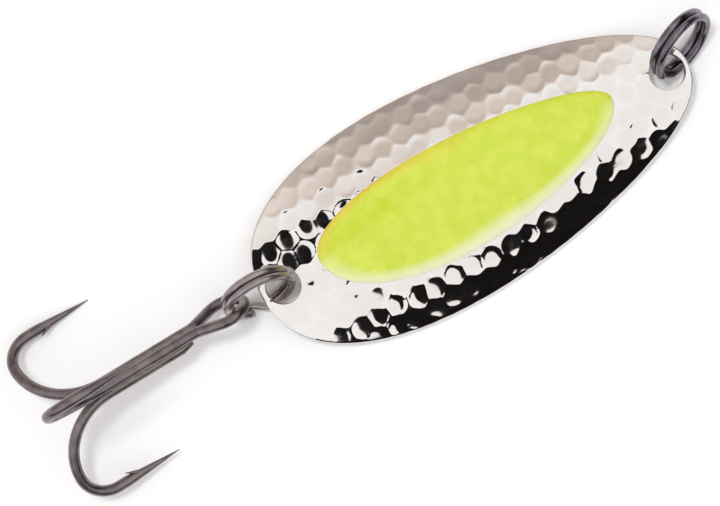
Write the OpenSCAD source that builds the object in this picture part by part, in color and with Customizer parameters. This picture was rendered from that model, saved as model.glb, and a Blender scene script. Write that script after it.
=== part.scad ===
// Casting spoon lure: a hammered, crowned blade with a bright plastic insert,
// a split ring for the line at the nose, and a split ring with a brazed treble hook at the tail.
// The lure lies crown up on a table: +X runs along the blade to the nose, +Z is up, sizes in mm.

/* [Blade] */
// Length of the blade from nose to tail
blade_length = 66; // [56:1:80]
// Width of the blade at its widest place
blade_width = 30; // [26:0.5:36]
// Thickness of the sheet
blade_thickness = 1.6; // [1.2:0.1:2]
// Height of the crown over the rim at mid length
blade_crown = 5.5; // [4:0.25:7]
// Height that the rim rises above the table at nose and tail
end_rise = 2.2; // [1.8:0.1:2.8]
// Share by which the tail half is fuller than the nose half
tail_fullness = 0.2; // [0:0.02:0.26]
// Roundness of the ends: 1 is an ellipse, less is blunter
end_roundness = 0.86; // [0.75:0.01:1]
// Steepness of the flanks: 2 is a plain arch, more is flatter on top
flank_power = 2.2; // [2:0.1:3]
// Spacing of the hammer marks
dent_pitch = 2.9; // [2.2:0.1:4]
// Depth of a hammer mark
dent_depth = 0.18; // [0.05:0.01:0.3]
// Wander of a hammer mark from the even pattern
dent_wander = 0.35; // [0:0.05:0.6]

/* [Insert] */
// Length of the coloured insert
insert_length = 45; // [36:0.5:48]
// Reach of the insert from its middle line towards the left flank
insert_left = 6; // [4:0.25:8]
// Reach of the insert from its middle line towards the right flank
insert_right = 9; // [7:0.25:10]
// Share by which the insert's tail half is fuller than its nose half
insert_fullness = 0.16; // [0:0.02:0.2]
// Distance of the insert's middle behind the blade's middle
insert_back = 1.1; // [0:0.1:3]
// Distance of the insert's middle line to the left of the blade's
insert_aside = 0.7; // [0:0.1:1.5]
// Depth of the recess that the insert sits in
recess_depth = 0.7; // [0.4:0.05:0.9]
// Height that the insert stands over the blade's face
insert_proud = 0.3; // [0.1:0.05:0.5]
// Room between the insert's edge and the recess
insert_clearance = 0.05; // [0.02:0.01:0.1]

/* [Holes] */
// Diameter of the hole for the hook ring
tail_hole_d = 4.8; // [4.6:0.1:6]
// Width of metal between the tail hole and the tail
tail_bridge = 1; // [0.9:0.1:2.2]
// Diameter of the hole for the line ring
nose_hole_d = 4.9; // [4.6:0.1:5.4]
// Width of metal between the nose hole and the nose
nose_bridge = 0.8; // [0.7:0.1:2]

/* [Split rings] */
// Outside diameter of a split ring
ring_od = 10.6; // [10:0.1:12]
// Diameter of the ring wire
ring_wire = 1.1; // [0.9:0.05:1.15]
// Room between the two turns of a ring
turn_gap = 0.04; // [0.02:0.01:0.1]
// Arc over which the wire steps from one turn to the next
jog_arc = 32; // [26:1:45]
// Slope of the hook ring above the table, as it leans on the blade
hook_ring_lean = 67; // [62:1:69]
// Slope of the line ring above the table, as it leans on the blade
line_ring_lean = 66; // [64:1:76]
// Angle of the line ring to the blade, seen from above
line_ring_yaw = 22; // [10:1:40]
// Distance of the ring wire ahead of the tail hole's middle
tail_crossing = 0.8; // [0.6:0.1:1.2]
// Distance of the ring wire inside the nose hole's middle
nose_crossing = 0.3; // [0.2:0.1:0.6]
// Gap left under each ring
table_gap = 0.05; // [0.02:0.01:0.1]

/* [Treble hook] */
// Diameter of the hook wire
hook_wire = 1.55; // [1.3:0.05:1.6]
// Distance from the ring wire to where the bends start
shank_length = 19.4; // [17:0.2:24]
// Radius of the first, open part of a bend
open_bend_r = 8.9; // [8:0.1:12]
// Turn of the first, open part of a bend
open_bend_turn = 90; // [60:1:110]
// Radius of the second, close part of a bend
close_bend_r = 4; // [3.5:0.1:6]
// Straight wire between the bend and the point
point_run = 1.5; // [0.5:0.1:3]
// Length of the tapered point
point_length = 8; // [6:0.2:9]
// Radius of the very tip
tip_r = 0.05; // [0.03:0.01:0.1]
// Length of the barb
barb_length = 2.4; // [1.6:0.1:3]
// Height of the barb's end over the middle of the wire
barb_lift = 1.25; // [0.9:0.05:1.5]
// Half width of the eye, to the middle of its wire
eye_r = 3; // [2.9:0.05:3.4]
// Angle at which the eye's sides close in on the shank
eye_taper = 29; // [24:1:34]
// Radius of the bend where the eye meets the shank
throat_r = 2.5; // [1.5:0.1:4]
// Free room between the ring wire and the eye's end
eye_slack = 1.1; // [0.9:0.05:1.5]
// Distance from the ring wire to the end of the third hook's shank
third_shank_start = 6.2; // [5.9:0.1:8]
// Room that the braze fills between two wires
braze_film = 0.1; // [0.06:0.01:0.15]
// Radius of the braze round the shank's middle
braze_r = 1.3; // [1.1:0.05:1.5]
// Running room between braze and wire
braze_clearance = 0.01; // [0.005:0.005:0.02]
// Turn of the treble about its shank
treble_roll = 4; // [0:1:8]
// Turn of the treble's shank to the right of the blade, seen from above
treble_yaw = 2; // [0:0.5:6]

/* [Hidden] */
$fn = 48;

// Counts that set how finely the faces are drawn
sectors = 144;
face_rows = 12;
ring_steps = 36;
ring_sides = 12;
tiny = 0.001;

// Egg-shaped outlines, long axis on X, with the full end at -X
function egg_side(c, fullness, roundness) = pow(max(0, 1 - c * c), roundness / 2) * (1 - fullness * c);
function egg_peak(fullness, roundness) = max([for (c = [-0.6:0.005:0.2]) egg_side(c, fullness, roundness)]);
blade_peak = egg_peak(tail_fullness, end_roundness);
insert_peak = egg_peak(insert_fullness, 1);
function blade_point(t, length, width) = [
    length / 2 * cos(t),
    sign(sin(t)) * half_width(cos(t), width)
];
function insert_point(t, grow) = [
    (insert_length / 2 + grow) * cos(t),
    (sin(t) > 0 ? insert_left + grow : -insert_right - grow)
        * egg_side(cos(t), insert_fullness, 1) / insert_peak
];
function half_width(c, width) = width / 2 * egg_side(c, tail_fullness, end_roundness) / blade_peak;

// Upper face of the blade without its hammer marks
function arch(c) = blade_crown * (1 - c * c);
function rim_angle(c) =
    let (b = half_width(c, blade_width))
    b < tiny ? 0 : atan(flank_power * arch(c) / b);
function across(y, b) = b < tiny ? 1 : min(1, abs(y) / b);
function face_z(x, y) =
    let (c = max(-1, min(1, 2 * x / blade_length)))
    blade_thickness * cos(rim_angle(c)) + end_rise * pow(c, 4)
        + arch(c) * (1 - pow(across(y, half_width(c, blade_width)), flank_power));

// Lower face of the blade, one sheet thickness inside the upper face
mid_rim_angle = rim_angle(0);
under_width = blade_width - 2 * blade_thickness * sin(mid_rim_angle);
under_length = blade_length - blade_thickness / 2;
under_crown = blade_crown - blade_thickness * (1 - cos(mid_rim_angle));
function under_z(x, y) =
    let (c = max(-1, min(1, 2 * x / under_length)))
    end_rise * pow(c, 4)
        + under_crown * (1 - c * c) * (1 - pow(across(y, half_width(c, under_width)), flank_power));

// Hammer marks: shallow bowls on a wandering honeycomb, meeting in ridges
row_step = dent_pitch * sin(60);
cell_r = dent_pitch / 2 / cos(30);
// Angles that keep the wander of neighbouring marks unlike
along_stir = [137.5, 71.3];
across_stir = [97.1, 211.7];
function dent_centre(i, j) = [
    (i + (j % 2 == 0 ? 0 : 0.5)) * dent_pitch + dent_wander * sin(along_stir * [i, j]),
    j * row_step + dent_wander * cos(across_stir * [i, j])
];
function dent_distance(x, y) =
    let (j0 = round(y / row_step), i0 = round(x / dent_pitch))
    min([for (j = [j0 - 1:j0 + 1]) for (i = [i0 - 2:i0 + 2]) norm([x, y] - dent_centre(i, j))]);
function dent_z(x, y) = -dent_depth * (1 - pow(min(1, dent_distance(x, y) / cell_r), 2));

// Closed skin from loops of points, first loop inmost on top, last loop inmost below
function skin_faces(loops, flip) =
    let (n = sectors, first = loops * n, last = loops * n + 1)
    [
        for (i = [0:n - 1]) [first, (i + 1) % n, i],
        for (k = [0:loops - 2]) for (i = [0:n - 1])
            let (j = (i + 1) % n, a = k * n + i, b = k * n + j, c = (k + 1) * n + j, d = (k + 1) * n + i)
            each flip ? [[a, b, d], [b, c, d]] : [[a, b, c], [a, c, d]],
        for (i = [0:n - 1]) [(loops - 1) * n + i, (loops - 1) * n + (i + 1) % n, last]
    ];
module skin(loops, top_pole, under_pole, flip) {
    polyhedron(
        points = [each [for (loop = loops) each loop], top_pole, under_pole],
        faces = skin_faces(len(loops), flip)
    );
}
function sector_angle(i) = 360 * i / sectors;

// Recess and insert outlines share one middle
insert_mid = [-insert_back, insert_aside];
function recess_edge(i) = insert_mid + insert_point(sector_angle(i), insert_clearance);
function inset(p, d) = insert_mid + (p - insert_mid) * (1 - d / norm(p - insert_mid));
function insert_edge(i) = inset(recess_edge(i), insert_clearance);
function lift(p, z) = [p[0], p[1], z];
function floor_point(p) = lift(p, face_z(p[0], p[1]) - recess_depth);
floor_shares = [0.35, 0.7];
function floor_loop(share) = [
    for (i = [0:sectors - 1]) floor_point(insert_mid + share * (recess_edge(i) - insert_mid))
];
insert_floor_edge = [for (i = [0:sectors - 1]) floor_point(insert_edge(i))];

// Holes are punched square to the sheet
tail_hole_x = -blade_length / 2 + tail_bridge + tail_hole_d / 2;
nose_hole_x = blade_length / 2 - nose_bridge - nose_hole_d / 2;
function sheet_z(x) = face_z(x, 0) - blade_thickness / 2;
slope_step = 0.5;
function sheet_tilt(x) = -atan((face_z(x + slope_step, 0) - face_z(x - slope_step, 0)) / (2 * slope_step));

// Split rings: pose from the place where the wire crosses the sheet
ring_r = (ring_od - ring_wire) / 2;
turn_step = ring_wire + turn_gap;
function ring_height(lean) = ring_od / 2 * sin(lean) + (turn_step + ring_wire) / 2 * cos(lean) + table_gap;
function ring_along(yaw) = [cos(yaw), sin(yaw), 0];
function ring_up(yaw, lean) = [-sin(yaw) * cos(lean), cos(yaw) * cos(lean), sin(lean)];
function ring_drop(x, lean) = (sheet_z(x) - ring_height(lean)) / sin(lean);
function ring_reach(x, lean) = sqrt(ring_r * ring_r - pow(ring_drop(x, lean), 2));
tail_cross_x = tail_hole_x + tail_crossing;
hook_ring_mid = [tail_cross_x, 0, sheet_z(tail_cross_x)]
    - ring_along(0) * ring_reach(tail_cross_x, hook_ring_lean)
    - ring_up(0, hook_ring_lean) * ring_drop(tail_cross_x, hook_ring_lean);
nose_cross_x = nose_hole_x - nose_crossing;
line_ring_mid = [nose_cross_x, 0, sheet_z(nose_cross_x)]
    + ring_along(line_ring_yaw) * ring_reach(nose_cross_x, line_ring_lean)
    - ring_up(line_ring_yaw, line_ring_lean) * ring_drop(nose_cross_x, line_ring_lean);
hook_ring_jog = 245;
line_ring_jog = 195;

// Treble: three wires in a close triangle round the shank's middle
treble_pivot = hook_ring_mid - ring_along(0) * ring_r;
wire_step = hook_wire + braze_film;
bundle_r = wire_step / 2 / cos(30);
prong_rolls = [for (roll = [90, 210, 330]) roll + treble_roll];
low_roll = prong_rolls[1];
eye_roll = (prong_rolls[0] + prong_rolls[1]) / 2;
eye_offset = bundle_r / 2 * [0, cos(eye_roll), sin(eye_roll)];
close_bend_turn = 180 - open_bend_turn;
bend_mid_along = shank_length + (open_bend_r - close_bend_r) * sin(open_bend_turn);
bend_mid_out = bundle_r + open_bend_r - (open_bend_r - close_bend_r) * cos(open_bend_turn);

// The shank slopes up from the eye until the lowest point rests on the table
tip_along = bend_mid_along - point_run - point_length;
tip_down = (bend_mid_out + close_bend_r) * sin(low_roll) - eye_offset[2];
tip_height = table_gap + tip_r - treble_pivot[2];
shank_pitch = asin(tip_height / norm([tip_along, tip_down])) - atan2(tip_down, tip_along);

// Eye, and hair-wide lands that carry the wire across each change of bend
seam_gap = 0.01;
seam_land = 0.3;
seam_height = 0.01;
eye_end = -(ring_wire + hook_wire) / 2 - eye_slack;
eye_mid = eye_end + eye_r;
eye_side = (eye_r * cos(eye_taper) - throat_r * (1 - cos(eye_taper)) - wire_step / 2) / sin(eye_taper);
throat_end = eye_mid + (eye_r + throat_r) * sin(eye_taper) + eye_side * cos(eye_taper);

// The origin is under the middle of the whole lure
line_ring_tilt = abs(sin(line_ring_yaw) * sin(line_ring_lean));
lure_front = line_ring_mid[0] + ring_r * sqrt(1 - pow(line_ring_tilt, 2))
    + line_ring_tilt * turn_step / 2 + ring_wire / 2;
function back_share(p) =
    p[0] * cos(shank_pitch) * cos(treble_yaw)
        - p[1] * sin(treble_yaw) - p[2] * sin(shank_pitch) * cos(treble_yaw);
along_share = back_share([1, 0, 0]);
function bend_reach(roll) =
    let (
        out_share = back_share([0, cos(roll), sin(roll)]),
        shares = [along_share, out_share],
        in_close_bend = atan2(along_share, -out_share) > open_bend_turn
    )
    in_close_bend
        ? shares * [bend_mid_along, bend_mid_out] + close_bend_r * norm(shares)
        : shares * [shank_length, bundle_r + open_bend_r] + open_bend_r * norm(shares);
lure_back = treble_pivot[0] + back_share(eye_offset)
    - max([for (roll = prong_rolls) bend_reach(roll)]) - hook_wire / 2;
lure_mid_x = (lure_front + lure_back) / 2;
module in_lure_frame() {
    translate([-lure_mid_x, 0, 0]) children();
}

punch_length = 6 * blade_thickness;
module punched_hole(x, d) {
    translate([x, 0, sheet_z(x)]) rotate([0, sheet_tilt(x), 0])
        cylinder(d = d, h = punch_length, center = true);
}

// Hammered, crowned sheet with the recess for the insert and a hole at each end
under_shares = [1, 0.85, 0.6, 0.3];
module blade() {
    face_loops = [
        for (k = [0:face_rows]) [
            for (i = [0:sectors - 1])
                let (
                    rim = blade_point(sector_angle(i), blade_length, blade_width),
                    p = recess_edge(i) + (rim - recess_edge(i)) * k / face_rows
                )
                lift(p, face_z(p[0], p[1]) + dent_z(p[0], p[1]))
        ]
    ];
    under_loops = [
        for (share = under_shares) [
            for (i = [0:sectors - 1])
                let (p = share * blade_point(sector_angle(i), under_length, under_width))
                lift(p, under_z(p[0], p[1]))
        ]
    ];
    recess_floor = [for (share = floor_shares) floor_loop(share)];
    recess_corner = floor_loop(1);
    color("silver") in_lure_frame() difference() {
        skin(
            [each recess_floor, insert_floor_edge, recess_corner, each face_loops, each under_loops],
            floor_point(insert_mid), [0, 0, under_z(0, 0)], false
        );
        punched_hole(tail_hole_x, tail_hole_d);
        punched_hole(nose_hole_x, nose_hole_d);
    }
}

// Moulded insert, seated on the recess floor, with a rounded upper edge
// Each row: distance in from the edge and share of the height over the blade's face
edge_rows = [[3, 1], [1.2, 0.9], [0.45, 0.55], [0.1, 0.1], [0, -0.6]];
crown_share = 0.35;
module insert() {
    function crown_point(p) = lift(p, face_z(p[0], p[1]) + insert_proud);
    crown_loop = [
        for (i = [0:sectors - 1])
            crown_point(insert_mid + crown_share * (insert_edge(i) - insert_mid))
    ];
    edge_loops = [
        for (row = edge_rows) [
            for (i = [0:sectors - 1])
                let (p = inset(insert_edge(i), row[0]))
                lift(p, face_z(p[0], p[1]) + row[1] * insert_proud)
        ]
    ];
    seat_loops = [for (k = [len(floor_shares) - 1:-1:0]) floor_loop(floor_shares[k])];
    color("greenyellow") in_lure_frame()
        skin(
            [crown_loop, each edge_loops, insert_floor_edge, each seat_loops],
            crown_point(insert_mid), floor_point(insert_mid), true
        );
}

// Two turns of spring wire, stepping from one turn to the next over the jog
module split_ring(jog_start) {
    steps = 2 * ring_steps;
    sweep = 720 - jog_arc;
    function jog_share(a) = max(0, min(1, (a - (360 - jog_arc)) / jog_arc));
    function climb(s) = (3 - 2 * s) * s * s;
    function section(k) =
        let (
            a = sweep * k / steps,
            z = (climb(jog_share(a)) - 0.5) * turn_step,
            turn = jog_start + jog_arc + a
        )
        [
            for (m = [0:ring_sides - 1])
                let (f = 360 * m / ring_sides, r = ring_r + ring_wire / 2 * cos(f))
                [r * cos(turn), r * sin(turn), z + ring_wire / 2 * sin(f)]
        ];
    n = ring_sides;
    faces = [
        [for (m = [0:n - 1]) m],
        for (k = [0:steps - 1]) for (m = [0:n - 1])
            let (j = (m + 1) % n, a = k * n + m, b = k * n + j, c = (k + 1) * n + j, d = (k + 1) * n + m)
            each [[a, d, b], [b, d, c]],
        [for (m = [n - 1:-1:0]) steps * n + m]
    ];
    polyhedron(points = [for (k = [0:steps]) each section(k)], faces = faces);
}
module place_ring(mid, yaw, lean) {
    u = ring_along(yaw);
    v = ring_up(yaw, lean);
    w = cross(u, v);
    multmatrix([
        [u[0], v[0], w[0], mid[0]],
        [u[1], v[1], w[1], mid[1]],
        [u[2], v[2], w[2], mid[2]]
    ]) children();
}
module line_ring() {
    color("dimgray") in_lure_frame()
        place_ring(line_ring_mid, line_ring_yaw, line_ring_lean) split_ring(line_ring_jog);
}
module hook_ring() {
    color("gray") in_lure_frame()
        place_ring(hook_ring_mid, 0, hook_ring_lean) split_ring(hook_ring_jog);
}

// Wire runs along +X; a bend turns it to its left, or to its right if the turn is negative
module wire_seam() {
    rotate([0, 90, 0]) cylinder(d = hook_wire + 2 * seam_height, h = seam_land, center = true);
    translate([seam_gap, 0, 0]) children();
}
module wire_run(length) {
    rotate([0, 90, 0]) cylinder(d = hook_wire, h = length);
    translate([length, 0, 0]) wire_seam() children();
}
module wire_bend(r, turn) {
    side = sign(turn);
    mirror([0, side < 0 ? 1 : 0, 0]) translate([0, r, 0]) rotate([0, 0, -90])
        rotate_extrude(angle = abs(turn)) translate([r, 0]) circle(d = hook_wire);
    bend_end = [r * sin(abs(turn)), side * r * (1 - cos(turn)), 0];
    translate(bend_end) rotate([0, 0, turn]) wire_seam() children();
}

// Ground point with a barb raised on its inner side
barb_tilt = atan(barb_lift / barb_length);
barb_root_share = 0.8;
barb_root_r = barb_root_share * hook_wire / 2 * (1 - barb_length / point_length);
module barbed_point() {
    rotate([0, 90, 0]) cylinder(h = point_length, r1 = hook_wire / 2, r2 = tip_r);
    translate([barb_length, 0, 0]) rotate([0, -90, -barb_tilt])
        cylinder(h = norm([barb_length, barb_lift]), r1 = barb_root_r, r2 = tip_r);
}
// Straight shank from its start to the bend, then the bend and the point
module prong(roll, start) {
    rotate([roll, 0, 0]) translate([start, bundle_r, 0])
        wire_run(shank_length - start)
        wire_bend(open_bend_r, open_bend_turn)
        wire_bend(close_bend_r, close_bend_turn)
        wire_run(point_run)
        barbed_point();
}
module place_treble() {
    translate(treble_pivot) rotate([0, -shank_pitch, 180 + treble_yaw]) translate(-eye_offset) children();
}
// Half of the eye, from the middle of its end round to the shank
module half_eye() {
    translate([eye_end, 0, 0]) rotate([0, 0, 90])
        wire_bend(eye_r, -90 - eye_taper)
        wire_run(eye_side - 2 * seam_gap)
        wire_bend(throat_r, eye_taper);
}

// One wire bent into an eye with a hook at each end
module double_hook() {
    color("dimgray") in_lure_frame() place_treble() {
        translate(eye_offset) rotate([eye_roll + 90, 0, 0]) {
            half_eye();
            mirror([0, 1, 0]) half_eye();
        }
        prong(prong_rolls[0], throat_end + seam_gap);
        prong(prong_rolls[1], throat_end + seam_gap);
    }
}

// Third hook, its shank cut short behind the eye
module single_hook() {
    color("dimgray") in_lure_frame() place_treble() prong(prong_rolls[2], third_shank_start);
}

// Brass braze that holds the three shanks together
braze_inset = 0.5;
module braze() {
    color("gray") in_lure_frame() place_treble()
        translate([third_shank_start + braze_inset, 0, 0]) rotate([90, 0, 90])
        linear_extrude(shank_length - third_shank_start - 2 * braze_inset)
        difference() {
            circle(r = braze_r);
            for (roll = prong_rolls)
                rotate(roll) translate([bundle_r, 0]) circle(d = hook_wire + 2 * braze_clearance);
        }
}

blade();
insert();
line_ring();
hook_ring();
double_hook();
single_hook();
braze();
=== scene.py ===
import logging
import math
from dataclasses import dataclass
from enum import Enum

import bpy
import numpy as np
from mathutils import Matrix, Vector


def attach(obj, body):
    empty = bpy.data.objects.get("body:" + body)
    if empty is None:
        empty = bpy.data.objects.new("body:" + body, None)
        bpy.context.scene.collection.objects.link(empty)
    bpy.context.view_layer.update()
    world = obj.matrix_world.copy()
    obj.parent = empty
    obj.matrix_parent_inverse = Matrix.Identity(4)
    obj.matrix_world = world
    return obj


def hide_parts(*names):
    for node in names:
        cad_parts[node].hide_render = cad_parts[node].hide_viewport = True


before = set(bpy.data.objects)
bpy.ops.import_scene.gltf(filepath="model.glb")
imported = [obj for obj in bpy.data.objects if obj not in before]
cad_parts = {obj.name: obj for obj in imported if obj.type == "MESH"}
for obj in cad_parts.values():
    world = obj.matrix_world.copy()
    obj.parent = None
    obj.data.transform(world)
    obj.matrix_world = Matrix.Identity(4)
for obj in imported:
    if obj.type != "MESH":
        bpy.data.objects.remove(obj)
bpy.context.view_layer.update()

logging.basicConfig(level=logging.INFO, format="%(message)s")
log = logging.getLogger("spoon_lure")

# The blade's own middle lies this far ahead of the lure's middle, in mm.
BLADE_AHEAD = 14.7709
MM = 0.001

# Edges that turn by more than this many degrees stay sharp.
SHARP_ANGLE = 35.0
WIRE_SIDES = 20

# Span of a noise pattern's values over which the worn tone, and the higher roughness, come in.
WORN_SPAN = (0.35, 0.7)
ROUGH_SPAN = (0.3, 0.7)

Points = np.ndarray
Corners = tuple[int, ...]
Value = float | bool | str | tuple | bpy.types.ID | bpy.types.NodeSocket


class Tone(Enum):
    """Colours of the lure, written as sRGB hex."""

    RIDGE_NICKEL = "F3F0EC"
    # Worn patches on the plate, and painted shade in the hollows of the hammer marks.
    WORN_AND_DENT_SHADE_NICKEL = "EAE5DF"
    CHARTREUSE = "C5D733"
    PALE_CHARTREUSE = "D3E04D"
    # Painted shade along the insert's left edge.
    AMBER_EDGE_SHADE = "E2BE3C"
    # Painted highlight along the insert's right edge.
    PAINTED_EDGE_HIGHLIGHT = "F4F6DC"
    BLACK_NICKEL = "6B656D"
    BLACK_NICKEL_WORN = "958E96"
    RING_STEEL = "968D8F"
    RING_STEEL_WORN = "BAB0AE"
    HOOK_STEEL = "70676A"
    HOOK_STEEL_WORN = "938988"
    SOLDER = "7E7470"
    SOLDER_PALE = "A29788"
    PAPER = "F4F5F6"
    BACK_WALL = "DFD2CA"
    BACK_FOOT = "A99F9B"
    ROOM = "C4BBB3"
    SOFT_BOX = "FCFCFE"
    FLAG_BLACK = "181617"

    def linear(self) -> tuple[float, float, float, float]:
        """Linear RGBA of this sRGB colour."""
        channels = [int(self.value[i : i + 2], 16) / 255 for i in (0, 2, 4)]
        return (*[c / 12.92 if c <= 0.04045 else ((c + 0.055) / 1.055) ** 2.4 for c in channels], 1.0)


def add_node(
    tree: bpy.types.NodeTree,
    kind: str,
    settings: dict[str, Value] | None = None,
    inputs: dict[str | int, Value] | None = None,
) -> bpy.types.Node:
    """Adds a node with its settings, and sets or links its inputs.

    Args:
        tree: The tree that takes the node.
        kind: The node's type.
        settings: Values of the node's own properties.
        inputs: For each input, by name or place, a value or the output that feeds it.

    Returns:
        The new node.
    """
    node = tree.nodes.new(kind)
    for name, value in (settings or {}).items():
        setattr(node, name, value)
    for name, value in (inputs or {}).items():
        if isinstance(value, bpy.types.NodeSocket):
            tree.links.new(value, node.inputs[name])
        else:
            node.inputs[name].default_value = value
    return node


def new_material(name: str) -> tuple[bpy.types.Material, bpy.types.NodeTree]:
    """An empty node material and its tree.

    Args:
        name: The name of the real material.

    Returns:
        The material and its node tree.
    """
    material = bpy.data.materials.new(name)
    material.use_nodes = True
    material.node_tree.nodes.clear()
    return material, material.node_tree


@dataclass(frozen=True)
class Finish:
    """A surface in two tones of one material, uneven at two sizes.

    Attributes:
        name: Name of the real material.
        main: Tone of most of the surface.
        worn: Tone of the rubbed or paler places.
        patch_mm: Size of the patches of the worn tone.
        grain_mm: Size of the fine unevenness.
        grain_depth_mm: Depth of the fine unevenness.
        roughness: Lowest and highest roughness.
        metallic: 1 for metal, 0 for plastic.
    """

    name: str
    main: Tone
    worn: Tone
    patch_mm: float
    grain_mm: float
    grain_depth_mm: float
    roughness: tuple[float, float]
    metallic: float

    def shader(self) -> tuple[bpy.types.Material, bpy.types.NodeTree, bpy.types.Node]:
        """The finish as a material.

        Returns:
            The material, its tree and its surface node.
        """
        material, tree = new_material(self.name)
        place = add_node(tree, "ShaderNodeTexCoord").outputs["Object"]
        patches = add_node(
            tree, "ShaderNodeTexNoise",
            inputs={"Vector": place, "Scale": 1 / (self.patch_mm * MM), "Detail": 3.0},
        ).outputs["Fac"]
        grain = add_node(
            tree, "ShaderNodeTexNoise",
            inputs={"Vector": place, "Scale": 1 / (self.grain_mm * MM), "Detail": 2.0},
        ).outputs["Fac"]
        spread = add_node(
            tree, "ShaderNodeMapRange",
            inputs={0: patches, 1: WORN_SPAN[0], 2: WORN_SPAN[1], 3: 0.0, 4: 1.0},
        ).outputs[0]
        tone = add_node(
            tree, "ShaderNodeMix", {"data_type": "RGBA"},
            {0: spread, 6: self.main.linear(), 7: self.worn.linear()},
        ).outputs[2]
        rough = add_node(
            tree, "ShaderNodeMapRange",
            inputs={
                0: patches, 1: ROUGH_SPAN[0], 2: ROUGH_SPAN[1],
                3: self.roughness[0], 4: self.roughness[1],
            },
        ).outputs[0]
        bump = add_node(
            tree, "ShaderNodeBump",
            inputs={"Strength": 1.0, "Distance": self.grain_depth_mm * MM, "Height": grain},
        ).outputs["Normal"]
        surface = add_node(
            tree, "ShaderNodeBsdfPrincipled",
            inputs={"Base Color": tone, "Metallic": self.metallic, "Roughness": rough, "Normal": bump},
        )
        add_node(tree, "ShaderNodeOutputMaterial", inputs={"Surface": surface.outputs["BSDF"]})
        return material, tree, surface

    def material(self) -> bpy.types.Material:
        """The finish as a material."""
        return self.shader()[0]


@dataclass(frozen=True)
class HammeredNickel(Finish):
    """Bright nickel plate, with painted shade in the hammer marks' hollows, so the ridges are paler."""

    def material(self) -> bpy.types.Material:
        """The plate, with painted shade in its tone that deepens with each hammer mark's depth.

        Returns:
            The material.
        """
        material, tree, surface = self.shader()
        # Painted shade: the plate takes the darker tone towards the bottom of each hammer mark.
        depth = add_node(tree, "ShaderNodeAttribute", {"attribute_name": "mark_depth"}).outputs["Fac"]
        tone = surface.inputs["Base Color"].links[0].from_socket
        dent_shaded_tone = add_node(
            tree, "ShaderNodeMix", {"data_type": "RGBA"},
            {0: depth, 6: tone, 7: Tone.WORN_AND_DENT_SHADE_NICKEL.linear()},
        ).outputs[2]
        tree.links.new(dent_shaded_tone, surface.inputs["Base Color"])
        return material


@dataclass(frozen=True)
class ClearPlastic(Finish):
    """Chartreuse plastic letting in some light; painted amber shade at one edge, a painted highlight at the
    other.

    Attributes:
        glow: Share of the light that goes into the plastic.
        glow_mm: How deep that light goes.
        coat: Strength of the glossy skin.
        coat_roughness: Roughness of the glossy skin.
    """

    glow: float = 0.15
    glow_mm: float = 0.4
    coat: float = 0.35
    coat_roughness: float = 0.12

    def material(self) -> bpy.types.Material:
        """The plastic, with its painted edge shade and edge highlight and a glossy skin.

        Returns:
            The material.
        """
        material, tree, surface = self.shader()
        tone = surface.inputs["Base Color"].links[0].from_socket
        # Painted amber shade and painted whitish highlight at the insert's edges.
        for attribute, tint in (("amber_edge_shade", Tone.AMBER_EDGE_SHADE), ("painted_edge_highlight", Tone.PAINTED_EDGE_HIGHLIGHT)):
            share = add_node(tree, "ShaderNodeAttribute", {"attribute_name": attribute}).outputs["Fac"]
            tone = add_node(
                tree, "ShaderNodeMix", {"data_type": "RGBA"}, {0: share, 6: tone, 7: tint.linear()},
            ).outputs[2]
        tree.links.new(tone, surface.inputs["Base Color"])
        surface.inputs["Subsurface Weight"].default_value = self.glow
        surface.inputs["Subsurface Scale"].default_value = self.glow_mm * MM
        surface.inputs["Coat Weight"].default_value = self.coat
        surface.inputs["Coat Roughness"].default_value = self.coat_roughness
        return material


def new_tree(name: str, sockets: dict[str, str]) -> tuple[bpy.types.NodeTree, bpy.types.Node]:
    """A geometry tree with a geometry input and output and further named inputs.

    Args:
        name: The tree's name.
        sockets: Type of each further input, by name.

    Returns:
        The tree and its group input node.
    """
    tree = bpy.data.node_groups.new(name, "GeometryNodeTree")
    tree.interface.new_socket("Geometry", in_out="OUTPUT", socket_type="NodeSocketGeometry")
    for socket, kind in {"Geometry": "NodeSocketGeometry", **sockets}.items():
        tree.interface.new_socket(socket, in_out="INPUT", socket_type=kind)
    return tree, add_node(tree, "NodeGroupInput")


def end_tree(
    tree: bpy.types.NodeTree, geometry: bpy.types.NodeSocket, finish: bpy.types.NodeSocket,
) -> None:
    """Realizes what a tree made, gives it its material and passes it out.

    Args:
        tree: The tree to end.
        geometry: What the tree made.
        finish: The input that holds the material.
    """
    smooth = add_node(tree, "GeometryNodeSetShadeSmooth", inputs={"Geometry": geometry})
    real = add_node(tree, "GeometryNodeRealizeInstances", inputs={"Geometry": smooth.outputs[0]})
    dressed = add_node(
        tree, "GeometryNodeSetMaterial", inputs={"Geometry": real.outputs[0], "Material": finish},
    )
    add_node(tree, "NodeGroupOutput", inputs={"Geometry": dressed.outputs[0]})


def run_tree(obj: bpy.types.Object, tree: bpy.types.NodeTree, values: dict[str, Value]) -> None:
    """Runs a geometry tree on an object and keeps the result as its plain mesh.

    Args:
        obj: The object that holds the starting mesh.
        tree: The tree to run.
        values: Value of each named input.
    """
    modifier = obj.modifiers.new(tree.name, "NODES")
    modifier.node_group = tree
    for item in tree.interface.items_tree:
        if item.in_out == "INPUT" and item.name in values:
            modifier[item.identifier] = values[item.name]
    keep_result(obj)


def keep_result(obj: bpy.types.Object) -> None:
    """Turns what an object's modifiers make into its plain mesh.

    Args:
        obj: The object.
    """
    depsgraph = bpy.context.evaluated_depsgraph_get()
    mesh = bpy.data.meshes.new_from_object(obj.evaluated_get(depsgraph))
    obj.modifiers.clear()
    obj.data = mesh


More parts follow.
